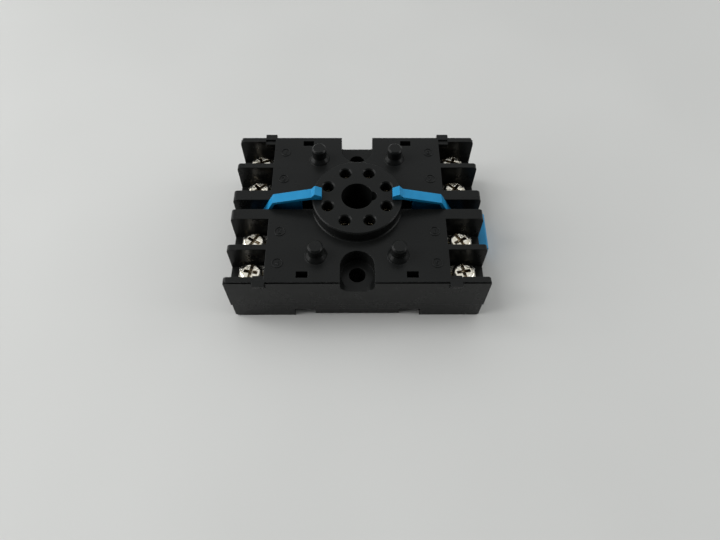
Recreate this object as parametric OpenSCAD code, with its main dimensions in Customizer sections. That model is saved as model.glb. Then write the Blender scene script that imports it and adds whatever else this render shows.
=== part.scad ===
// Octal plug-in relay socket with eight screw terminals, two folding retaining arms and a
// sliding latch for 35 mm top-hat rail. It can also be screwed to a panel through two holes.
// Frame: millimetres, +Z up. The origin is the middle of the underside, X runs along the body
// from one terminal block to the other, and Y runs along the rail.

/* [Body] */
// Length of the body, from end to end
body_l = 70.4; // [68:0.1:74]
// Width of the body, along the rail
body_w = 50; // [48:0.1:54]
// Height of the top plate's upper face above the underside
plate_h = 19.4; // [18.8:0.1:21]
// Thickness of the top plate
plate_t = 2; // [1.6:0.1:2.4]
// Thickness of the two long side walls
side_wall_t = 1.55; // [1.3:0.05:1.8]
// Rounding of the end walls' upper corners
end_round = 1.2; // [0.6:0.1:1.6]
// Height of the shadow groove under the plate's long edges
lip_groove_h = 0.75; // [0.4:0.05:1]
// Depth of the shadow groove under the plate's long edges
lip_groove_d = 0.5; // [0.3:0.05:0.7]
// Plate material above the shadow groove
lip_t = 0.2; // [0.15:0.05:0.4]
// Length of an edge tab
edge_tab_l = 3.3; // [3:0.1:3.6]
// Projection of an edge tab from the side face
edge_tab_reach = 1.3; // [1.1:0.1:1.5]

/* [Terminal bays] */
// Length of a terminal bay, open at the body's end
bay_l = 10.7; // [10.4:0.1:11.2]
// Distance of a terminal screw's axis from the body's end
screw_inset = 6.25; // [6.05:0.05:6.45]
// Height of the bay floor above the underside
bay_floor_h = 10.2; // [9.8:0.1:10.4]
// Thickness of the bay floor
bay_floor_t = 1.6; // [1.4:0.1:1.8]
// Thickness of the wall between a bay and the inside
inner_wall_t = 1.6; // [1.2:0.1:2]
// Thickness of the wall between two bays
mid_wall_t = 1.6; // [1.2:0.1:1.9]
// Thickness of the wall between a bay and the arm groove
centre_wall_t = 3.28; // [3:0.02:3.5]

/* [Relay socket] */
// Diameter of the raised socket disc
disc_d = 24.9; // [24:0.1:26]
// Height of the socket disc above the plate
disc_h = 3.8; // [3.6:0.1:4.2]
// Pitch circle of the eight pin holes
pin_circle_d = 17.45; // [17.2:0.05:17.7]
// Diameter of a pin hole
pin_hole_d = 3.1; // [2.8:0.05:3.3]
// Chamfer at the mouth of a pin hole
pin_chamfer = 0.35; // [0.2:0.05:0.5]
// Diameter of the bore for the relay's guide spigot
key_bore_d = 8.8; // [8.6:0.1:9]
// Width of the keyway
keyway_w = 3.2; // [2.8:0.1:3.4]
// Distance from the bore's axis to the keyway's round end
keyway_reach = 5.5; // [5.4:0.1:5.8]
// Width and height of the chamfer around the foot of the disc
disc_foot = 0.25; // [0.2:0.05:0.4]
// Depth of the contacts' housing below the plate's upper face
hub_depth = 6; // [5:0.1:7]

/* [Relay rests] */
// Distance of a rest post from the middle, along X
post_x = 11; // [10.5:0.1:12]
// Distance of a rest post from the middle, along Y
post_y = 16.8; // [16.4:0.1:17.4]
// Diameter of a rest post
post_d = 4.14; // [3.8:0.02:4.4]
// Height of a rest post above the plate
post_h = 4.6; // [4.4:0.1:5]
// Diameter of the flared collar at a post's foot
collar_d = 6.1; // [5.6:0.1:6.4]
// Height of the flared collar
collar_h = 1.4; // [1:0.1:1.8]

/* [Panel mounting] */
// Distance between the two mounting holes
mount_pitch = 40; // [39.5:0.1:40.5]
// Diameter of a mounting hole
mount_hole_d = 4.5; // [4.2:0.1:4.8]
// Width of the pocket for a mounting screw's head
pocket_w = 9.2; // [8.8:0.1:9.6]
// Height of the pocket's floor above the underside
pocket_floor_h = 14.3; // [13.8:0.1:14.6]
// Rounding of the front pocket's lower corners in the side face
front_round = 2.5; // [1.5:0.1:3.5]
// Rounding of the back pocket's lower corners in the side face
back_round = 0.5; // [0.3:0.1:1]

/* [Base cover] */
// Height of the base cover
base_h = 6.3; // [6.1:0.1:6.5]
// How far the base cover stands back from each end of the body
base_inset = 0.35; // [0.2:0.05:0.5]
// Wall thickness of the base cover
base_t = 1.6; // [1.4:0.1:1.8]
// Width of the recess for the rail
rail_slot_w = 35.5; // [35.3:0.1:35.8]
// Depth of the recess for the rail
rail_slot_h = 3.8; // [3.6:0.1:4]
// Reach of the fixed hook and of the latch's nose under the rail's flange
hook_reach = 1.5; // [1.2:0.1:1.8]
// Thickness of the hook and of the latch's nose
hook_t = 1.9; // [1.7:0.1:2]
// Length of the fixed hook along the rail
hook_l = 18; // [14:0.5:22]
// Width of the skirts that reach down between the rail's flanges
skirt_w = 24; // [20:0.5:24]
// Setback of the skirts behind the side faces
skirt_inset = 0.45; // [0.3:0.05:0.8]

/* [Snap hooks] */
// Distance of a plate window from the middle, along X
window_x = 14.55; // [14.3:0.05:15.5]
// Length of a plate window, along X
window_l = 3.15; // [3:0.05:3.4]
// Width of a plate window, along Y
window_w = 1.9; // [1.8:0.05:2.1]
// Plate material between a window and the side face
window_edge = 1.3; // [1.2:0.05:1.4]
// Thickness of a snap hook
snap_t = 0.9; // [0.8:0.05:1]
// Bite of a snap hook over its ledge
snap_bite = 0.5; // [0.4:0.05:0.6]

/* [Retaining arms] */
// Width of the groove in which an arm swings
arm_groove_w = 3.34; // [3.3:0.02:3.6]
// Depth of the arm channel between a bay and the disc
arm_channel_d = 4; // [3.6:0.1:4.4]
// Width of an arm
arm_w = 3; // [2.6:0.02:3]
// Thickness of an arm
arm_t = 1; // [0.9:0.05:1.1]
// Distance of an arm's hinge axis from the middle
pivot_x = 29.2; // [29:0.1:29.4]
// Height of an arm's hinge axis above the underside
pivot_h = 13; // [12.8:0.1:13.2]
// Distance of the bend between an arm's eye and leg from the middle
crank_x = 27; // [26.6:0.1:27.4]
// Height of that bend above the underside
crank_h = 15.4; // [15.2:0.1:15.8]
// Distance of an arm's knee from the middle
knee_x = 23.4; // [23.2:0.1:23.6]
// Height of an arm's knee above the plate
knee_h = 2.65; // [2.5:0.05:2.8]
// Thickness of the web under an arm's lever
web_w = 1; // [0.8:0.1:2]
// Distance from the middle to the web's end
web_x = 15.4; // [14:0.1:16]
// Depth of the web's lower edge below the plate's upper face
web_drop = 2.6; // [2:0.1:2.9]
// Diameter of an arm's hinge eye
eye_d = 3.8; // [3.6:0.1:4]
// Diameter of an arm's trunnions
trunnion_d = 2; // [1.8:0.1:2.2]
// Length of a trunnion in its wall
trunnion_l = 1.2; // [1:0.1:1.4]
// Distance from the middle to an arm's tip
tip_x = 9.7; // [9.5:0.1:9.9]
// Height of the catch at an arm's tip above the disc
catch_h = 2.6; // [2.4:0.1:2.8]

/* [Terminals] */
// Thickness of a terminal strip
strip_t = 1; // [0.8:0.05:1.1]
// Width of a terminal strip inside the body
strip_w = 3.5; // [3:0.1:4]
// Outer diameter of a pin contact
contact_od = 3.5; // [3.3:0.1:3.7]
// Inner diameter of a pin contact
contact_id = 2.5; // [2.4:0.05:2.6]
// Width of the slots in a pin contact
contact_slot = 0.5; // [0.4:0.05:0.6]
// Height of a contact's mouth above the plate
contact_rise = 0.4; // [0.2:0.1:0.6]
// Side of a square wire clamp
clamp_w = 7.2; // [7:0.1:7.5]
// Thickness of a wire clamp
clamp_t = 1; // [0.8:0.05:1.1]
// Height of a wire clamp's upturned ear
ear_h = 1; // [0.8:0.1:1.2]
// Width of the ear
ear_w = 2.6; // [2.4:0.1:3]
// Thickness of the ear
ear_t = 0.75; // [0.65:0.05:0.8]
// Thread diameter of a terminal screw
screw_d = 3.5; // [3.4:0.05:3.6]
// Length of a terminal screw under its head
screw_l = 4.8; // [4.6:0.1:5]
// Diameter of a terminal screw's head
head_d = 6.2; // [6:0.1:6.5]
// Height of a terminal screw's head
head_h = 2.7; // [2.5:0.1:2.9]

/* [Rail latch] */
// Width of the latch bar
latch_w = 8.4; // [8:0.1:9]
// Width over the latch's guide flanges
flange_w = 10.4; // [10.2:0.1:10.8]
// Thickness of the latch's guide flanges
flange_t = 1.8; // [1.6:0.1:2]
// Thickness of the latch bar
latch_t = 4; // [3.9:0.1:4.2]
// Travel of the latch
latch_travel = 3; // [2.5:0.1:3]
// Width of the latch's pull tab
tab_w = 10.1; // [9.8:0.1:10.4]
// Width of the rim at the tab's end
tab_rim_w = 12.4; // [12:0.1:13]
// Distance from the body's end to the tab's end
tab_reach = 3.75; // [3.5:0.05:4]
// Thickness of the rim at the tab's end
tab_rim_t = 1.05; // [0.9:0.05:1.2]
// Thickness of the latch's spring limb
limb_t = 0.8; // [0.7:0.05:0.9]

/* [Fits] */
// Radial clearance of a running pin in its hole
run_gap = 0.05; // [0.03:0.01:0.08]
// Clearance between pieces that move past each other
slide_gap = 0.2; // [0.15:0.05:0.25]
// Clearance between a moving piece and what it comes to rest near
rest_gap = 0.3; // [0.25:0.05:0.35]

/* [Hidden] */
$fn = 64;
black = [0.07, 0.07, 0.08];
blue = [0.10, 0.55, 0.90];
nickel = [0.80, 0.78, 0.72];
// Overrun of a cut past the face that it opens
over = 1;
// Depth to which a feature is sunk in the solid that it stands on
sink = 0.5;
pins = 8;

// Places across the body
half_l = body_l / 2;
half_w = body_w / 2;
bay_x = half_l - bay_l;
bay_w = (half_w - arm_groove_w / 2 - centre_wall_t - mid_wall_t - side_wall_t) / 2;
inner_bay_y = arm_groove_w / 2 + centre_wall_t + bay_w / 2;
outer_bay_y = half_w - side_wall_t - bay_w / 2;
cavity_x = bay_x - inner_wall_t;
cavity_y = half_w - side_wall_t;

// Heights
disc_top = plate_h + disc_h;
strip_top = bay_floor_h + strip_t;
clamp_top = strip_top + clamp_t;
hub_bottom = plate_h - hub_depth;
contact_top = plate_h + contact_rise;
base_roof = rail_slot_h + base_t;
channel_floor_h = plate_h - arm_channel_d;

// Terminals
screw_x = half_l - screw_inset;
contact_room_d = contact_od + 3 * rest_gap;
screw_room_d = screw_d + 3 * rest_gap;
eyelet_d = contact_od + 1.7;
ear_x = screw_x - bay_x - rest_gap;

// Panel mounting
mount_y = mount_pitch / 2;
boss_d = pocket_w;

// Edge tabs
edge_tab_x = bay_x - 0.3;
edge_tab_end = edge_tab_x + edge_tab_l;
edge_tab_drop = 3.6;
edge_tab_root = lip_groove_d + 0.2;
// The tab's root stands out into the bay, a step below the plate
root_reach = 0.6;
root_h = 1.3;
root_step = 0.5;

// Snap hooks
window_y = half_w - window_edge - window_w / 2;
snap_l = window_l - 2 * slide_gap;
snap_y = cavity_y - snap_bite - rest_gap - snap_t;
ledge_top = bay_floor_h + 3;
ledge_t = 1.4;

// Rail latch
slot_half = rail_slot_w / 2;
latch_bottom = 0.6;
latch_top = latch_bottom + latch_t;
latch_nose_x = slot_half - hook_reach;
guide_w = flange_w + 2 * (slide_gap + base_t);
flange_end = half_l - base_inset - base_t - slide_gap - latch_travel;
flange_start = slot_half + 2;
limb_x = flange_start + 3;
limb_half = latch_w / 2 - 1.2;
peg_d = 2.4;
peg_x = limb_x + limb_t / 2 + latch_travel + rest_gap + peg_d / 2;

// What each terminal belongs to: end of the body (-1 or 1), side of it (-1 or 1) and row.
// Terminals 1 to 4 run from back to front at the left, 5 to 8 from front to back at the right.
function end_of(k) = k <= 4 ? -1 : 1;
function back_of(k) = (k <= 2 || k >= 7) ? 1 : -1;
function is_outer(k) = k == 1 || k == 4 || k == 5 || k == 8;
function bay_y_of(k) = back_of(k) * (is_outer(k) ? outer_bay_y : inner_bay_y);
// Direction of the pin hole that an outer or an inner terminal serves
function pin_angle(outer) = 180 / pins * (outer ? 3 : 1);

// A block along Y whose upper corners in XZ are round
module round_top_block(l, w, z0, z1, r) {
    rotate([90, 0, 0]) linear_extrude(w, center = true) {
        translate([-l / 2, z0]) square([l, z1 - z0 - r]);
        translate([-l / 2 + r, z0]) square([l - 2 * r, z1 - z0]);
        for (s = [-1, 1]) translate([s * (l / 2 - r), z1 - r]) circle(r);
    }
}

// A box from its low corner to its high corner
module span_box(low, high) {
    translate(low) cube(high - low);
}

// The same child at both ends of the body
module both_ends() {
    children();
    mirror([1, 0, 0]) children();
}

// The same child at both sides of the body
module both_sides() {
    children();
    mirror([0, 1, 0]) children();
}

// The same child in all four corners
module four_corners() {
    both_ends() {
        children();
        mirror([0, 1, 0]) children();
    }
}

// ---------------------------------------------------------------- upper housing

module housing_shell() {
    difference() {
        round_top_block(body_l, body_w, base_h, plate_h, end_round);
        // Room for the terminal strips, open towards the base cover
        span_box([-cavity_x, -cavity_y, base_h - over], [cavity_x, cavity_y, plate_h - plate_t]);
        // Room for the screws' tips under each bay
        four_corners() for (y = [inner_bay_y, outer_bay_y])
            translate([bay_x, y - bay_w / 2, base_h - over])
                cube([bay_l - inner_wall_t, bay_w, bay_floor_h - bay_floor_t - base_h + over]);
    }
}

module socket_hub() {
    // Disc with a bevelled rim and foot, and the hub that holds the contacts below the plate
    rim = 0.3;
    r = disc_d / 2;
    rotate_extrude($fn = 96) polygon([
        [0, hub_bottom], [r, hub_bottom], [r, plate_h - plate_t],
        [r + disc_foot, plate_h - plate_t], [r + disc_foot, plate_h],
        [r, plate_h + disc_foot], [r, disc_top - rim], [r - rim, disc_top], [0, disc_top]
    ]);
}

module rest_post() {
    edge = 0.45;
    foot = [0.25, 0.5];
    translate([post_x, post_y, plate_h]) rotate_extrude() polygon([
        [0, -plate_t / 2], [collar_d / 2, -plate_t / 2], [collar_d / 2, 0],
        [collar_d / 2 - foot[0], foot[1]], [post_d / 2, collar_h],
        [post_d / 2, post_h - edge], [post_d / 2 - edge, post_h], [0, post_h]
    ]);
}

// Wedge-shaped tab at the end of a long edge, for a marking strip
module edge_tab() {
    edge = 0.8;
    tip = edge_tab_root + edge_tab_reach;
    translate([edge_tab_x, half_w - edge_tab_root, plate_h]) rotate([90, 0, 90])
        linear_extrude(edge_tab_l) polygon([
            [0, 0], [tip, 0], [tip, -edge], [edge_tab_root, -edge_tab_drop], [0, -edge_tab_drop]
        ]);
}

// Thickening of the side wall behind the tab, left standing in the bay
module edge_tab_rib() {
    span_box([bay_x - over, cavity_y - root_reach, plate_h - root_step - root_h],
             [edge_tab_end, cavity_y + over, plate_h - root_step]);
}

// Step in the side wall's top behind the tab
module edge_tab_recess() {
    span_box([bay_x, cavity_y - sink, plate_h - root_step],
             [edge_tab_end, half_w - edge_tab_root, plate_h + over]);
}

// Walls and floor of the channel under an arm, between its bay and the disc
module channel_trough() {
    half = arm_groove_w / 2 + inner_wall_t;
    span_box([disc_d / 2 - sink, -half, channel_floor_h - inner_wall_t],
             [cavity_x + sink, half, plate_h - sink]);
}

// Walls, floor and boss of the pocket around a mounting hole
module pocket_trough() {
    wall_half = pocket_w / 2 + inner_wall_t;
    low = pocket_floor_h - inner_wall_t;
    span_box([-wall_half, mount_y, low], [wall_half, cavity_y + sink, plate_h - sink]);
    difference() {
        translate([0, mount_y, low]) cylinder(r = wall_half, h = plate_h - sink - low);
        span_box([-wall_half - over, mount_y, low - over],
                 [wall_half + over, mount_y + 2 * wall_half, plate_h]);
    }
    translate([0, mount_y, base_h]) cylinder(d = boss_d, h = pocket_floor_h - base_h);
}

// Ledge that a snap hook of the base cover bites over
module snap_ledge() {
    span_box([window_x - window_l / 2, cavity_y - snap_bite, ledge_top - ledge_t],
             [window_x + window_l / 2, cavity_y + sink, ledge_top]);
}

module key_bore() {
    translate([0, 0, hub_bottom - over]) {
        cylinder(d = key_bore_d, h = disc_top - hub_bottom + 2 * over);
        translate([keyway_reach - keyway_w / 2, 0, 0])
            cylinder(d = keyway_w, h = disc_top - hub_bottom + 2 * over);
        translate([0, -keyway_w / 2, 0])
            cube([keyway_reach - keyway_w / 2, keyway_w, disc_top - hub_bottom + 2 * over]);
    }
}

module pin_holes() {
    for (k = [0 : pins - 1]) rotate(360 / pins * (k + 0.5)) translate([pin_circle_d / 2, 0, 0]) {
        cylinder(d = pin_hole_d, h = disc_top + over);
        translate([0, 0, disc_top - pin_chamfer])
            cylinder(d1 = pin_hole_d, d2 = pin_hole_d + 4 * pin_chamfer, h = 2 * pin_chamfer);
        // Cavity of the contact
        translate([0, 0, hub_bottom - over])
            cylinder(d = contact_room_d, h = contact_top + 2 * rest_gap - hub_bottom + over);
    }
}

module bay_cuts() {
    difference() {
        for (y = [inner_bay_y, outer_bay_y])
            span_box([bay_x, y - bay_w / 2, bay_floor_h], [half_l + over, y + bay_w / 2, plate_h + over]);
        edge_tab_rib();
    }
    for (y = [inner_bay_y, outer_bay_y]) {
        // Hole for the screw's tip
        translate([screw_x, y, base_h - over])
            cylinder(d = screw_room_d, h = bay_floor_h - base_h + 2 * over);
        // Passage of the terminal strip through the inner wall
        span_box([cavity_x - over, y - strip_w / 2 - slide_gap, bay_floor_h],
                 [bay_x + over, y + strip_w / 2 + slide_gap, strip_top + slide_gap]);
    }
}

module arm_cuts() {
    half = arm_groove_w / 2;
    // Deep groove in the terminal block, open at the end
    span_box([bay_x, -half, bay_floor_h], [half_l + over, half, plate_h + over]);
    // Shallow channel up to the disc
    difference() {
        span_box([0, -half, channel_floor_h], [bay_x + over, half, plate_h + over]);
        cylinder(d = disc_d, h = plate_h + 3 * over);
    }
    // Blind holes for the trunnions
    hole_l = arm_groove_w + 2 * (trunnion_l + slide_gap);
    translate([pivot_x, 0, pivot_h]) rotate([90, 0, 0])
        cylinder(d = trunnion_d + 2 * run_gap, h = hole_l, center = true);
}

module pocket_cut(corner) {
    depth = plate_h - pocket_floor_h + over;
    translate([0, mount_y, pocket_floor_h]) {
        cylinder(d = pocket_w, h = depth);
        // Way out through the side face, with round lower corners
        rotate([-90, 0, 0]) linear_extrude(half_w - mount_y + over) {
            translate([-pocket_w / 2, -depth]) square([pocket_w, depth - corner]);
            for (s = [-1, 1]) translate([s * (pocket_w / 2 - corner), -corner]) circle(corner);
            translate([corner - pocket_w / 2, -depth]) square([pocket_w - 2 * corner, depth]);
        }
    }
    translate([0, mount_y, base_h - over])
        cylinder(d = mount_hole_d, h = pocket_floor_h - base_h + 2 * over);
}

module window_cut() {
    span_box([window_x - window_l / 2, window_y - window_w / 2, ledge_top - ledge_t],
             [window_x + window_l / 2, window_y + window_w / 2, plate_h + over]);
}

// Shadow groove under the plate's long edge, interrupted at the edge tab
module lip_groove() {
    z1 = plate_h - lip_t;
    z0 = z1 - lip_groove_h;
    span_box([-over, half_w - lip_groove_d, z0], [edge_tab_x, half_w + over, z1]);
    span_box([edge_tab_end, half_w - lip_groove_d, z0], [half_l + over, half_w + over, z1]);
}

module upper_housing() {
    color(black) difference() {
        union() {
            difference() {
                union() {
                    housing_shell();
                    both_ends() channel_trough();
                    both_sides() pocket_trough();
                }
                four_corners() lip_groove();
                four_corners() window_cut();
            }
            socket_hub();
            four_corners() rest_post();
            four_corners() edge_tab();
            four_corners() snap_ledge();
        }
        key_bore();
        pin_holes();
        four_corners() bay_cuts();
        both_ends() arm_cuts();
        pocket_cut(back_round);
        mirror([0, 1, 0]) pocket_cut(front_round);
        four_corners() edge_tab_recess();
    }
}

// ---------------------------------------------------------------- base cover

// Outline of the base cover in XZ, with the rail recess and round lower corners
module base_outline() {
    half = half_l - base_inset;
    r = 1;
    difference() {
        union() {
            translate([-half, r]) square([2 * half, base_h - r]);
            translate([-half + r, 0]) square([2 * (half - r), base_h]);
            for (s = [-1, 1]) translate([s * (half - r), r]) circle(r);
        }
        translate([-slot_half, -over]) square([rail_slot_w, rail_slot_h + over]);
    }
}

// Outline of the trays on both sides of the rail recess
module tray_outline() {
    inner = slot_half + base_t;
    outer = half_l - base_inset - base_t;
    for (s = [0, 1]) mirror([s, 0]) translate([inner, base_t]) square([outer - inner, base_h]);
    translate([-inner - over, base_roof]) square([2 * (inner + over), base_h]);
}

// Hook that reaches under one flange of the rail
module fixed_hook() {
    lead = 0.7;
    translate([-slot_half, 0, 0]) rotate([90, 0, 0]) linear_extrude(hook_l, center = true) polygon([
        [-sink, latch_bottom], [hook_reach - lead, latch_bottom], [hook_reach, latch_bottom + lead],
        [hook_reach, latch_bottom + hook_t], [-sink, latch_bottom + hook_t]
    ]);
}

// Boss of a mounting hole, with a skirt along the side
module mounting_skirt() {
    foot = 0.3;
    face_y = half_w - skirt_inset;
    translate([0, mount_y, foot]) cylinder(d = boss_d - 2 * skirt_inset, h = base_h - foot);
    span_box([-skirt_w / 2, face_y - base_t, foot], [skirt_w / 2, face_y, base_roof - sink]);
}

// Straight hook that snaps over a ledge of the upper housing
module snap_hook() {
    head = [0.4, 1.4];
    catch_z = ledge_top + slide_gap;
    face_y = snap_y + snap_t;
    translate([window_x - snap_l / 2, 0, 0]) rotate([90, 0, 90]) linear_extrude(snap_l) polygon([
        [snap_y, base_roof - sink], [face_y, base_roof - sink], [face_y, catch_z],
        [face_y + snap_bite, catch_z], [face_y + snap_bite, catch_z + head[0]],
        [face_y, catch_z + head[1]], [snap_y, catch_z + head[1]]
    ]);
}

// Pillars that carry the terminal strips
module strip_pillars() {
    pillar_l = 2.4;
    end_x = cavity_x - rest_gap;
    for (y = [inner_bay_y, outer_bay_y])
        span_box([end_x - pillar_l, y - strip_w / 2, base_t - sink], [end_x, y + strip_w / 2, bay_floor_h]);
}

// Slot of the latch: the bar's slot is open downwards, the wider one guides the flanges
module latch_slot() {
    roof = latch_top + slide_gap;
    bar_half = latch_w / 2 + slide_gap;
    wide_half = flange_w / 2 + slide_gap;
    span_box([latch_nose_x - over, -bar_half, -over], [half_l + over, bar_half, roof]);
    span_box([latch_nose_x - over, -wide_half, latch_top - flange_t - slide_gap],
             [half_l - base_inset - base_t, wide_half, roof]);
}

module base_cover() {
    ring_d = pin_circle_d + contact_id + 2 * rest_gap;
    ring_z = base_roof - sink;
    color(black) {
        difference() {
            union() {
                difference() {
                    rotate([90, 0, 0]) linear_extrude(body_w, center = true) base_outline();
                    rotate([90, 0, 0]) linear_extrude(body_w - 2 * base_t, center = true) tray_outline();
                }
                // Block that guides the latch
                span_box([slot_half, -guide_w / 2, 0],
                         [half_l - base_inset - base_t / 2, guide_w / 2, base_h - slide_gap]);
                fixed_hook();
                both_sides() mounting_skirt();
                // Collar under the contacts
                difference() {
                    translate([0, 0, ring_z]) cylinder(d = ring_d + 2 * base_t, h = bay_floor_h - ring_z);
                    translate([0, 0, ring_z - over]) cylinder(d = ring_d, h = bay_floor_h);
                }
                four_corners() strip_pillars();
                four_corners() snap_hook();
            }
            latch_slot();
            both_sides() translate([0, mount_y, -over]) cylinder(d = mount_hole_d, h = base_h + 2 * over);
        }
        // Peg that the latch's spring limb bears on
        translate([peg_x, 0, latch_bottom + sink]) cylinder(d = peg_d, h = latch_t);
    }
}

// ---------------------------------------------------------------- moving pieces

// One arm, drawn for the left end: hinge eye, cranked leg, knee, lever with its web, and catch
module retaining_arm() {
    knee_z = plate_h + knee_h;
    under_tip = disc_top + rest_gap;
    lever_x = disc_d / 2 + 0.1;
    lever_z = under_tip + arm_t;
    crest_x = lever_x - 1;
    foot = [pivot_x - crank_x, crank_h - pivot_h];
    leg = [crank_x - knee_x, knee_z - crank_h];
    lever = [knee_x - lever_x, lever_z - knee_z];
    tip_t = 1.4;
    foot_n = [-foot[1], foot[0]] / norm(foot) * arm_t;
    leg_n = [-leg[1], leg[0]] / norm(leg) * arm_t;
    lever_n = [-lever[1], lever[0]] / norm(lever) * arm_t;
    color(blue) {
        rotate([90, 0, 0]) linear_extrude(arm_w, center = true) {
            translate([-pivot_x, pivot_h]) circle(d = eye_d);
            polygon([
                [-pivot_x, pivot_h] + foot_n / 2, [-crank_x, crank_h], [-knee_x, knee_z],
                [-lever_x, lever_z],
                [-crest_x, disc_top + catch_h], [-tip_x, under_tip + tip_t], [-tip_x, under_tip],
                [-lever_x, lever_z - arm_t], [-knee_x, knee_z] - (leg_n + lever_n) / 2,
                [-crank_x, crank_h] - (foot_n + leg_n) / 2, [-pivot_x, pivot_h] - foot_n / 2
            ]);
        }
        // The web lies in the channel and stiffens the lever
        web_z = plate_h - web_drop;
        leg_at_web = knee_x + (knee_z - web_z) * leg[0] / leg[1] - arm_t / 2;
        lever_at_web = knee_z + (knee_x - web_x) * lever[1] / lever[0] - arm_t / 2;
        rotate([90, 0, 0]) linear_extrude(web_w, center = true) polygon([
            [-leg_at_web, web_z], [-knee_x, knee_z - arm_t / 2], [-web_x, lever_at_web], [-web_x, web_z]
        ]);
        translate([-pivot_x, 0, pivot_h]) rotate([90, 0, 0])
            cylinder(d = trunnion_d, h = arm_groove_w + 2 * trunnion_l, center = true);
    }
}

module retaining_arm_left() {
    retaining_arm();
}

module retaining_arm_right() {
    mirror([1, 0, 0]) retaining_arm();
}

module latch_tab() {
    // Block and rim outside the body's end, with a bevelled upper edge
    stem_x = half_l + rest_gap;
    rim_x = half_l + tab_reach - tab_rim_t;
    bevel = 0.5;
    translate([stem_x, -tab_w / 2, latch_bottom])
        cube([rim_x - stem_x + sink, tab_w, base_h - latch_bottom]);
    translate([rim_x, tab_rim_w / 2, 0]) rotate([90, 0, 0]) linear_extrude(tab_rim_w) polygon([
        [0, latch_bottom], [tab_rim_t, latch_bottom], [tab_rim_t, base_h - bevel],
        [tab_rim_t - bevel, base_h], [0, base_h]
    ]);
}

module rail_latch() {
    lead = 0.8;
    stem_end = half_l + rest_gap + sink;
    color(blue) {
        difference() {
            union() {
                // Bar with a nose that reaches under the rail's flange
                translate([0, latch_w / 2, 0]) rotate([90, 0, 0]) linear_extrude(latch_w) polygon([
                    [latch_nose_x + lead, latch_bottom], [stem_end, latch_bottom],
                    [stem_end, latch_top], [slot_half + slide_gap, latch_top],
                    [slot_half + slide_gap, latch_bottom + hook_t], [latch_nose_x, latch_bottom + hook_t],
                    [latch_nose_x, latch_bottom + lead]
                ]);
                span_box([flange_start, -flange_w / 2, latch_top - flange_t],
                         [flange_end, flange_w / 2, latch_top]);
            }
            // Window for the base cover's peg
            span_box([limb_x - 2, -limb_half, latch_bottom - over],
                     [peg_x + peg_d / 2 + 2 * rest_gap, limb_half, latch_top + over]);
        }
        // Spring limb, bowed towards the peg
        translate([0, 0, latch_bottom]) linear_extrude(latch_t) spring_limb();
        latch_tab();
    }
}

// Thin bow across the window, between its two long sides
module spring_limb() {
    rise = 1.2;
    r = (pow(limb_half, 2) + pow(rise, 2)) / (2 * rise);
    intersection() {
        translate([limb_x + limb_t / 2 - r, 0]) difference() {
            circle(r, $fn = 96);
            circle(r - limb_t, $fn = 96);
        }
        translate([limb_x - 2 * rise, -limb_half - sink]) square([4 * rise, 2 * (limb_half + sink)]);
    }
}

// ---------------------------------------------------------------- terminals

// Flat strip with round corners along a list of points
module flat_path(points, width, thickness) {
    linear_extrude(thickness) {
        for (p = points) translate(p) circle(d = width);
        for (i = [1 : len(points) - 1]) {
            run = points[i] - points[i - 1];
            translate(points[i - 1]) rotate(atan2(run[1], run[0]))
                translate([0, -width / 2]) square([norm(run), width]);
        }
    }
}

// Strip from the clamp pad to the contact, drawn for the right back quarter
module terminal_quarter(outer) {
    y = outer ? outer_bay_y : inner_bay_y;
    angle = pin_angle(outer);
    pin = pin_circle_d / 2 * [cos(angle), sin(angle)];
    // The strip turns towards its pin once it is clear of the bay
    bend = [pin[0] + y - pin[1], y];
    contact_h = contact_top - strip_top;
    slot_z = 1.5;
    difference() {
        union() {
            translate([0, 0, bay_floor_h]) {
                flat_path([[screw_x, y], bend, pin], strip_w, strip_t);
                translate([screw_x - clamp_w / 2, y - clamp_w / 2, 0]) cube([clamp_w, clamp_w, strip_t]);
                translate([pin[0], pin[1], 0]) cylinder(d = eyelet_d, h = strip_t);
            }
            translate([pin[0], pin[1], strip_top]) difference() {
                cylinder(d = contact_od, h = contact_h);
                for (a = [0, 90]) rotate(angle + a) translate([-contact_od, -contact_slot / 2, slot_z])
                    cube([2 * contact_od, contact_slot, contact_h]);
            }
        }
        translate([pin[0], pin[1], bay_floor_h - over])
            cylinder(d = contact_id, h = contact_h + strip_t + 2 * over);
        translate([screw_x, y, bay_floor_h - over])
            cylinder(d = screw_d + 2 * run_gap, h = strip_t + 2 * over);
    }
}

module terminal(k) {
    color(nickel) mirror([end_of(k) < 0 ? 1 : 0, 0, 0]) mirror([0, back_of(k) < 0 ? 1 : 0, 0])
        terminal_quarter(is_outer(k));
}

// Square clamp with cut corners and an upturned ear beside the inner wall
module wire_clamp(k) {
    corner = 0.9;
    half = clamp_w / 2;
    hole_d = screw_d + 4 * run_gap;
    side = end_of(k);
    color(nickel) translate([side * screw_x, bay_y_of(k), strip_top]) mirror([side < 0 ? 1 : 0, 0, 0]) {
        difference() {
            linear_extrude(clamp_t) polygon([
                [half - corner, -half], [half, -half + corner],
                [half, half - corner], [half - corner, half],
                [-half + corner, half], [-half, half - corner],
                [-half, -half + corner], [-half + corner, -half]
            ]);
            translate([0, 0, -over]) cylinder(d = hole_d, h = clamp_t + 2 * over);
        }
        span_box([-ear_x, -ear_w / 2, 0], [-half + sink, ear_w / 2, clamp_t]);
        span_box([-ear_x, -ear_w / 2, 0], [-ear_x + ear_t, ear_w / 2, clamp_t + ear_h]);
    }
}

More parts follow.
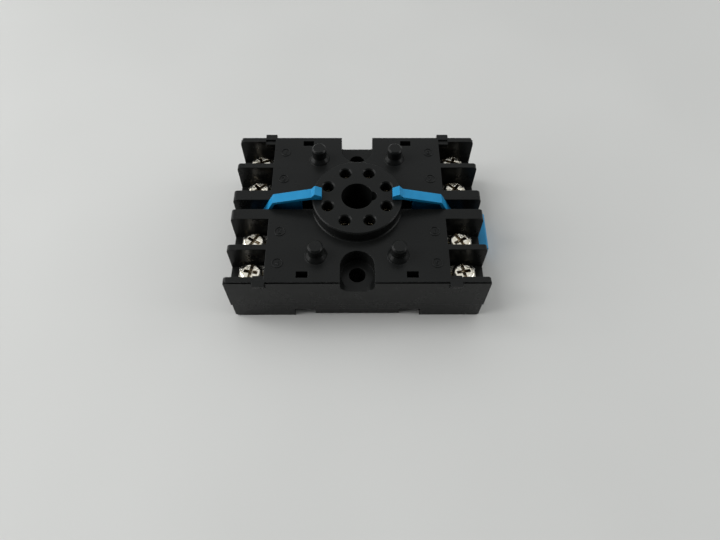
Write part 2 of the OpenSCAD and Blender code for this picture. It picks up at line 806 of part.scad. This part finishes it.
// Pan head with a round edge, a slot and a cross
module terminal_screw(k) {
    slot_t = 0.9;
    slot_z = head_h - 1.2;
    cross_l = 3.8;
    cross_z = head_h - 1.8;
    edge = 1;
    tip = 0.4;
    r = head_d / 2;
    turn = 20 * k;
    color(nickel) translate([end_of(k) * screw_x, bay_y_of(k), clamp_top]) difference() {
        union() {
            cylinder(r = r, h = head_h - edge);
            cylinder(r = r - edge, h = head_h);
            rotate_extrude() translate([r - edge, head_h - edge]) circle(edge);
            translate([0, 0, tip - screw_l]) cylinder(d = screw_d, h = screw_l);
            translate([0, 0, -screw_l]) cylinder(d1 = screw_d - 2 * tip, d2 = screw_d, h = tip);
        }
        rotate(turn)
            span_box([-head_d, -slot_t / 2, slot_z], [head_d, slot_t / 2, head_h + over]);
        rotate(turn + 90)
            span_box([-cross_l / 2, -slot_t / 2, cross_z], [cross_l / 2, slot_t / 2, head_h + over]);
    }
}

upper_housing();
base_cover();
retaining_arm_left();
retaining_arm_right();
rail_latch();
terminal(1);  // terminal_1
terminal(2);  // terminal_2
terminal(3);  // terminal_3
terminal(4);  // terminal_4
terminal(5);  // terminal_5
terminal(6);  // terminal_6
terminal(7);  // terminal_7
terminal(8);  // terminal_8
wire_clamp(1);  // wire_clamp_1
wire_clamp(2);  // wire_clamp_2
wire_clamp(3);  // wire_clamp_3
wire_clamp(4);  // wire_clamp_4
wire_clamp(5);  // wire_clamp_5
wire_clamp(6);  // wire_clamp_6
wire_clamp(7);  // wire_clamp_7
wire_clamp(8);  // wire_clamp_8
terminal_screw(1);  // terminal_screw_1
terminal_screw(2);  // terminal_screw_2
terminal_screw(3);  // terminal_screw_3
terminal_screw(4);  // terminal_screw_4
terminal_screw(5);  // terminal_screw_5
terminal_screw(6);  // terminal_screw_6
terminal_screw(7);  // terminal_screw_7
terminal_screw(8);  // terminal_screw_8
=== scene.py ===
"""Octal relay socket: finishes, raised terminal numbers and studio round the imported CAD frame."""
import math

import bmesh
import bpy
from mathutils import Matrix, Vector


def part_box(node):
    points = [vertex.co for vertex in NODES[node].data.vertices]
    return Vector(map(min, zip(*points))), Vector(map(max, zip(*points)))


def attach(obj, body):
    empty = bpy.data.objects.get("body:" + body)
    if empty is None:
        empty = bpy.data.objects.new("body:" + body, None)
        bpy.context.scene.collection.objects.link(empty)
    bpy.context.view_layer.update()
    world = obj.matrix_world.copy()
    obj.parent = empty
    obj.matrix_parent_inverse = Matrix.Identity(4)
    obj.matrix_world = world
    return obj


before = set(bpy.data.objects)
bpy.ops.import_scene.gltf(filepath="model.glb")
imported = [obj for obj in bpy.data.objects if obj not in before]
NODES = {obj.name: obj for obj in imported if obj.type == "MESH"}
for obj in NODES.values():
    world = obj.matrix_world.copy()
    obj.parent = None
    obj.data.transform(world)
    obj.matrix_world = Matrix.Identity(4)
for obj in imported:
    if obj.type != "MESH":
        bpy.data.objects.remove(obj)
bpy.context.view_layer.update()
MM = 0.001
TERMINALS = range(1, 9)


def add_object(name, data):
    """A new object that holds this data, linked to the scene."""
    item = bpy.data.objects.new(name, data)
    bpy.context.scene.collection.objects.link(item)
    return item


def smooth_range(nodes, links, value, low, high, out_low, out_high):
    """The value taken smoothly from the range low..high to out_low..out_high, and held beyond it."""
    m = nodes.new("ShaderNodeMapRange")
    m.interpolation_type = "SMOOTHSTEP"
    ends = (("From Min", low), ("From Max", high), ("To Min", out_low), ("To Max", out_high))
    for key, v in ends:
        m.inputs[key].default_value = v
    links.new(value, m.inputs["Value"])
    return m.outputs["Result"]


# ---------------------------------------------------------------- camera
# Fitted to the photograph from the eight pin holes and the body's corners.
CAMERA_PLACE = (-0.0001, -0.0972, 0.1492)
CAMERA_YAW, CAMERA_PITCH, CAMERA_ROLL = 0.61, 59.71, 0.44  # degrees, pitch downwards
FOCAL_PIXELS = 572.7
PHOTO_WIDTH_PIXELS = 720
SENSOR_WIDTH = 36.0


def make_camera():
    """The photograph's camera."""
    yaw, pitch, roll = (math.radians(a) for a in (CAMERA_YAW, CAMERA_PITCH, CAMERA_ROLL))
    forward = Vector((math.sin(yaw) * math.cos(pitch), math.cos(yaw) * math.cos(pitch),
                      -math.sin(pitch)))
    side = Vector((math.cos(yaw), -math.sin(yaw), 0.0))
    up = side.cross(forward)
    right = math.cos(roll) * side + math.sin(roll) * up
    top = -math.sin(roll) * side + math.cos(roll) * up
    data = bpy.data.cameras.new("camera")
    data.sensor_width = SENSOR_WIDTH
    data.lens = FOCAL_PIXELS / PHOTO_WIDTH_PIXELS * SENSOR_WIDTH
    data.clip_start, data.clip_end = 0.01, 10.0
    camera = add_object("camera", data)
    turned = Matrix((right, top, -forward)).transposed().to_4x4()
    camera.matrix_world = Matrix.Translation(CAMERA_PLACE) @ turned
    bpy.context.scene.camera = camera


make_camera()


# ---------------------------------------------------------------- materials
class Graph:
    """A node tree with short calls for what the materials below share."""

    def __init__(self, name):
        self.material = bpy.data.materials.new(name)
        self.material.use_nodes = True
        self.nodes = self.material.node_tree.nodes
        self.links = self.material.node_tree.links
        self.shader = self.nodes["Principled BSDF"]
        self.place = self.nodes.new("ShaderNodeTexCoord").outputs["Object"]

    def noise(self, scale, detail, roughness=0.5, place=None):
        n = self.nodes.new("ShaderNodeTexNoise")
        n.inputs["Scale"].default_value = scale
        n.inputs["Detail"].default_value = detail
        n.inputs["Roughness"].default_value = roughness
        self.links.new(place or self.place, n.inputs["Vector"])
        return n.outputs["Fac"]

    def stretched(self, scale):
        """The object's coordinates times a scale for each axis."""
        m = self.nodes.new("ShaderNodeMapping")
        m.inputs["Scale"].default_value = scale
        self.links.new(self.place, m.inputs["Vector"])
        return m.outputs["Vector"]

    def ramp(self, value, low, high, out_low, out_high):
        return smooth_range(self.nodes, self.links, value, low, high, out_low, out_high)

    def math(self, kind, a, b):
        m = self.nodes.new("ShaderNodeMath")
        m.operation = kind
        for socket, v in zip(m.inputs, (a, b)):
            if isinstance(v, (int, float)):
                socket.default_value = v
            else:
                self.links.new(v, socket)
        return m.outputs[0]

    def mix(self, factor, a, b):
        """Colour a where the factor is 0 and colour b where it is 1."""
        m = self.nodes.new("ShaderNodeMix")
        m.data_type = "RGBA"
        self.links.new(factor, m.inputs["Factor"])
        for color_input, v in ((6, a), (7, b)):
            if isinstance(v, tuple):
                m.inputs[color_input].default_value = (*v, 1.0)
            else:
                self.links.new(v, m.inputs[color_input])
        return m.outputs[2]

    def rounded(self, radius):
        """How near an edge is, from 0 to 1, and the normal of a surface with rounded edges."""
        bevel = self.nodes.new("ShaderNodeBevel")
        bevel.samples = 6
        bevel.inputs["Radius"].default_value = radius
        geometry = self.nodes.new("ShaderNodeNewGeometry")
        dot = self.nodes.new("ShaderNodeVectorMath")
        dot.operation = "DOT_PRODUCT"
        self.links.new(bevel.outputs["Normal"], dot.inputs[0])
        self.links.new(geometry.outputs["Normal"], dot.inputs[1])
        return self.ramp(dot.outputs["Value"], 0.999, 0.93, 0.0, 1.0), bevel.outputs["Normal"]

    def open_sky(self, reach, low, high):
        """1 where a surface lies open, falling to 0 deep in a slot or corner."""
        ao = self.nodes.new("ShaderNodeAmbientOcclusion")
        ao.samples = 8
        ao.inputs["Distance"].default_value = reach
        return self.ramp(ao.outputs["AO"], low, high, 0.0, 1.0)

    def bump(self, height, distance, strength, normal=None):
        b = self.nodes.new("ShaderNodeBump")
        b.inputs["Strength"].default_value = strength
        b.inputs["Distance"].default_value = distance
        self.links.new(height, b.inputs["Height"])
        if normal is not None:
            self.links.new(normal, b.inputs["Normal"])
        return b.outputs["Normal"]

    def finish(self, color=None, roughness=None, normal=None, **fixed):
        """Link what varies over the surface and set what is the same all over it."""
        for key, v in (("Base Color", color), ("Roughness", roughness), ("Normal", normal)):
            if v is not None:
                self.links.new(v, self.shader.inputs[key])
        for key, v in fixed.items():
            self.shader.inputs[key.replace("_", " ")].default_value = v
        return self.material


# Linear colours. A pair is the two ends between which a surface varies.
BLACK_BODY = (0.0062, 0.0067, 0.0065), (0.0082, 0.0087, 0.0085)
# Paler edge colour for the black plastic: partly wear, partly painted highlight.
BLACK_WORN_AND_LIT_EDGE = (0.030, 0.032, 0.031)
DUST = (0.055, 0.053, 0.048)
BLUE_BODY = (0.008, 0.222, 0.458), (0.012, 0.246, 0.500)
# Painted shade: dark blue put where the blue plastic lies in a groove or under the lever.
BLUE_PAINTED_SHADE = (0.003, 0.060, 0.14)
# Painted highlight: paler blue put along the blue plastic's edges.
BLUE_PAINTED_EDGE_HIGHLIGHT = (0.070, 0.35, 0.63)
FLOOR_PAPER = (0.600, 0.602, 0.588), (0.622, 0.624, 0.610)


def black_plastic():
    """Moulded black thermoplastic: grain, faint flow marks, paler edges that are partly wear and
    partly painted highlight, and a little dust.
    """
    g = Graph("black_moulded_plastic")
    flow = g.noise(90, 2.0, 0.5, g.stretched((0.35, 1.0, 1.0)))
    cloud = g.noise(260, 3.0, 0.6)
    grain = g.noise(9000, 2.0, 0.6)
    dust = g.ramp(g.noise(5200, 1.0, 0.4), 0.72, 0.79, 0.0, 0.35)
    body = g.mix(g.ramp(flow, 0.3, 0.7, 0.0, 1.0), *BLACK_BODY)
    rim, soft = g.rounded(radius=0.00022)
    # Edges painted paler along the rims: partly wear, partly painted highlight.
    edge_wear_and_highlight = g.math("MULTIPLY", rim, g.ramp(cloud, 0.35, 0.65, 0.2, 0.8))
    color = g.mix(dust, g.mix(edge_wear_and_highlight, body, BLACK_WORN_AND_LIT_EDGE), DUST)
    rough = g.math("ADD", g.ramp(cloud, 0.25, 0.75, 0.23, 0.31), g.math("MULTIPLY", grain, 0.05))
    relief = g.bump(grain, distance=0.00002, strength=0.30, normal=soft)
    return g.finish(color, rough, relief, Specular_IOR_Level=0.15)


def blue_plastic():
    """Bright blue moulded thermoplastic with a soft sheen, a painted highlight along its edges and
    painted shade in its grooves and hollows.
    """
    g = Graph("blue_moulded_plastic")
    cloud = g.noise(300, 3.0, 0.55)
    grain = g.noise(7000, 2.0, 0.6)
    body = g.mix(g.ramp(cloud, 0.3, 0.7, 0.0, 1.0), *BLUE_BODY)
    rim, soft = g.rounded(radius=0.00018)
    # Painted shade: blue darkened where the surface lies in a groove or under another part.
    painted_shade_in_hollows = g.mix(g.open_sky(reach=0.005, low=0.35, high=0.80), BLUE_PAINTED_SHADE, body)
    # Painted highlight: edges lightened toward a paler blue.
    color = g.mix(g.math("MULTIPLY", rim, 0.5), painted_shade_in_hollows, BLUE_PAINTED_EDGE_HIGHLIGHT)
    rough = g.ramp(cloud, 0.25, 0.75, 0.30, 0.44)
    relief = g.bump(grain, distance=0.000015, strength=0.3, normal=soft)
    return g.finish(color, rough, relief, Specular_IOR_Level=0.25)


def metal(name, body, roughness, line_scale, tarnish, recess_tarnish_and_shade):
    """Plated or plain metal with rolling lines, dents, stains of tarnish, and recesses darkened
    partly by tarnish and partly by painted shade.
    """
    g = Graph(name)
    lines = g.noise(900, 3.0, 0.6, g.stretched(line_scale))
    spots = g.noise(1400, 4.0, 0.65)
    bright = g.mix(g.ramp(spots, 0.35, 0.7, 0.0, 1.0), *body)
    stained = g.mix(g.ramp(g.noise(520, 2.0, 0.5), 0.56, 0.74, 0.0, 0.7), bright, tarnish)
    # Recesses darken towards the given colour: partly tarnish, partly painted shade.
    color = g.mix(g.open_sky(reach=0.0014, low=0.30, high=0.95), recess_tarnish_and_shade, stained)
    rough = g.math("ADD", g.ramp(spots, 0.3, 0.7, *roughness), g.math("MULTIPLY", lines, 0.05))
    _, soft = g.rounded(radius=0.00015)
    dents = g.bump(g.noise(1300, 2.0, 0.55), distance=0.00022, strength=0.6, normal=soft)
    relief = g.bump(lines, distance=0.00002, strength=0.25, normal=dents)
    return g.finish(color, rough, relief, Metallic=1.0)


BLACK = black_plastic()
BLUE = blue_plastic()
NICKEL = metal("nickel_plated_steel", body=((0.66, 0.61, 0.50), (0.93, 0.90, 0.83)),
               roughness=(0.08, 0.20), line_scale=(1, 1, 6),
               tarnish=(0.50, 0.42, 0.28), recess_tarnish_and_shade=(0.15, 0.11, 0.055))
CLAMP = metal("plated_clamp_steel", body=((0.76, 0.74, 0.67), (0.88, 0.86, 0.80)),
              roughness=(0.14, 0.28), line_scale=(1, 7, 1),
              tarnish=(0.50, 0.45, 0.36), recess_tarnish_and_shade=(0.22, 0.18, 0.11))
BRASS = metal("contact_brass", body=((0.66, 0.58, 0.40), (0.78, 0.70, 0.50)),
              roughness=(0.18, 0.34), line_scale=(8, 1, 1),
              tarnish=(0.40, 0.33, 0.20), recess_tarnish_and_shade=(0.25, 0.20, 0.12))


def dress(names, material):
    """Give CAD nodes a material."""
    for name in names:
        data = NODES[name].data
        data.materials.clear()
        data.materials.append(material)


dress(["upper_housing", "base_cover"], BLACK)
dress(["retaining_arm_left", "retaining_arm_right", "rail_latch"], BLUE)
dress([f"terminal_{k}" for k in TERMINALS], BRASS)
dress([f"wire_clamp_{k}" for k in TERMINALS], CLAMP)
dress([f"terminal_screw_{k}" for k in TERMINALS], NICKEL)


# ---------------------------------------------------------------- moulded terminal numbers
POST_HEIGHT = 4.6 * MM
PLATE_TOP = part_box("upper_housing")[1][2] - POST_HEIGHT
MARK_X = 21.2 * MM
MARK_RISE = 0.2 * MM
FIGURE_HEIGHT = 1.5 * MM
FIGURE_TO_FONT_SIZE = 0.729
FIGURE_SWELL = 0.00001
RING_RADIUS = 1.35
RING_STEPS = 48
# The ring's section, as steps outward from RING_RADIUS and heights over the plate, in millimetres.
RING_SECTION = ((-0.13, -0.1), (-0.12, 0.14), (-0.05, 0.2), (0.05, 0.2), (0.12, 0.14), (0.13, -0.1))


def figure_mesh(text):
    """A figure of Blender's own plain typeface as a deep mesh, centred on its baseline."""
    curve = bpy.data.curves.new("figure", "FONT")
    curve.body = text
    curve.size = FIGURE_HEIGHT / FIGURE_TO_FONT_SIZE
    curve.extrude = 0.5
    curve.offset = FIGURE_SWELL
    curve.align_x = "CENTER"
    holder = add_object("figure", curve)
    drawn = holder.evaluated_get(bpy.context.evaluated_depsgraph_get())
    mesh = bpy.data.meshes.new_from_object(drawn)
    bpy.data.objects.remove(holder)
    return mesh


def add_ring(bm):
    """The closed raised ring round a figure."""
    rows = []
    for i in range(RING_STEPS):
        a = 2 * math.pi * i / RING_STEPS
        rows.append([bm.verts.new(((RING_RADIUS + out) * MM * math.cos(a),
                                   (RING_RADIUS + out) * MM * math.sin(a), z * MM))
                     for out, z in RING_SECTION])
    for i in range(RING_STEPS):
        here, there = rows[i], rows[(i + 1) % RING_STEPS]
        for j in range(len(RING_SECTION)):
            n = (j + 1) % len(RING_SECTION)
            bm.faces.new((here[j], here[n], there[n], there[j]))


def terminal_mark(k):
    """Raised number of a terminal in a thin raised ring, on the plate beside its bay."""
    low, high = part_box(f"terminal_screw_{k}")
    side = -1 if low[0] < 0 else 1
    bm = bmesh.new()
    bm.from_mesh(figure_mesh(str(k)))
    middle_x = (min(v.co.x for v in bm.verts) + max(v.co.x for v in bm.verts)) / 2
    for v in bm.verts:
        v.co.x -= middle_x
        v.co.y -= FIGURE_HEIGHT / 2
        v.co.z = MARK_RISE if v.co.z > 0 else -MARK_RISE
    add_ring(bm)
    bmesh.ops.recalc_face_normals(bm, faces=bm.faces)
    mesh = bpy.data.meshes.new(f"terminal_mark_{k}")
    bm.to_mesh(mesh)
    bm.free()
    mesh.materials.append(BLACK)
    mark = add_object(f"terminal_mark_{k}", mesh)
    mark.location = (side * MARK_X, (low[1] + high[1]) / 2, PLATE_TOP)
    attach(mark, "socket_body")


for number in TERMINALS:
    terminal_mark(number)


# ---------------------------------------------------------------- floor and light
FLOOR_HALF = 3.0
WORLD_STRENGTH = 0.54
WORLD_COLOR = (0.98, 1.0, 1.0, 1.0)
# Towards the dim part of the surroundings in front of the socket, and how far it is dimmed.
DIM_SIDE = (0.0, -0.98, 0.20)
DIM_LEVEL = 0.03
# Towards the paler ceiling behind and above the socket, and what it adds.
CEILING_SIDE = (0.0, 0.50, 0.866)
CEILING_LEVEL = 0.65


def make_floor():
    mesh = bpy.data.meshes.new("floor")
    s = FLOOR_HALF
    mesh.from_pydata([(-s, -s, 0), (s, -s, 0), (s, s, 0), (-s, s, 0)], [], [(0, 1, 2, 3)])
    floor = add_object("floor", mesh)
    g = Graph("pale_floor")
    color = g.mix(g.ramp(g.noise(12, 2.0), 0.3, 0.7, 0.0, 1.0), *FLOOR_PAPER)
    g.finish(color, None, g.bump(g.noise(1500, 2.0), 0.00005, 0.15), Roughness=0.7)
    mesh.materials.append(g.material)


def area_lamp(name, place, size, power):
    """A rectangular lamp that looks at the socket."""
    data = bpy.data.lights.new(name, "AREA")
    data.shape = "RECTANGLE"
    data.size, data.size_y = size
    data.energy = power
    lamp = add_object(name, data)
    lamp.location = place
    lamp.rotation_euler = (-Vector(place)).to_track_quat("-Z", "Y").to_euler()


def make_world():
    """Slightly cool surroundings, dimmer in front of the socket and paler overhead."""
    world = bpy.data.worlds.new("studio")
    bpy.context.scene.world = world
    world.use_nodes = True
    nodes, links = world.node_tree.nodes, world.node_tree.links
    place = nodes.new("ShaderNodeTexCoord").outputs["Generated"]

    def along(direction):
        dot = nodes.new("ShaderNodeVectorMath")
        dot.operation = "DOT_PRODUCT"
        links.new(place, dot.inputs[0])
        dot.inputs[1].default_value = direction
        return dot.outputs["Value"]

    around = smooth_range(nodes, links, along(DIM_SIDE),
                          0.2, 0.75, WORLD_STRENGTH, DIM_LEVEL * WORLD_STRENGTH)
    ceiling = smooth_range(nodes, links, along(CEILING_SIDE),
                           0.72, 0.97, 0.0, CEILING_LEVEL * WORLD_STRENGTH)
    total = nodes.new("ShaderNodeMath")
    total.operation = "ADD"
    links.new(around, total.inputs[0])
    links.new(ceiling, total.inputs[1])
    links.new(total.outputs["Value"], nodes["Background"].inputs["Strength"])
    nodes["Background"].inputs["Color"].default_value = WORLD_COLOR


make_floor()
make_world()
area_lamp("key", place=(-0.545, 0.0, 0.585), size=(0.42, 0.42), power=2.85)
area_lamp("window", place=(-0.77, 0.04, 0.22), size=(1.0, 0.34), power=2.7)
area_lamp("right", place=(0.62, 0.0, 0.34), size=(0.40, 0.30), power=1.1)
bpy.context.scene.view_settings.view_transform = "Standard"
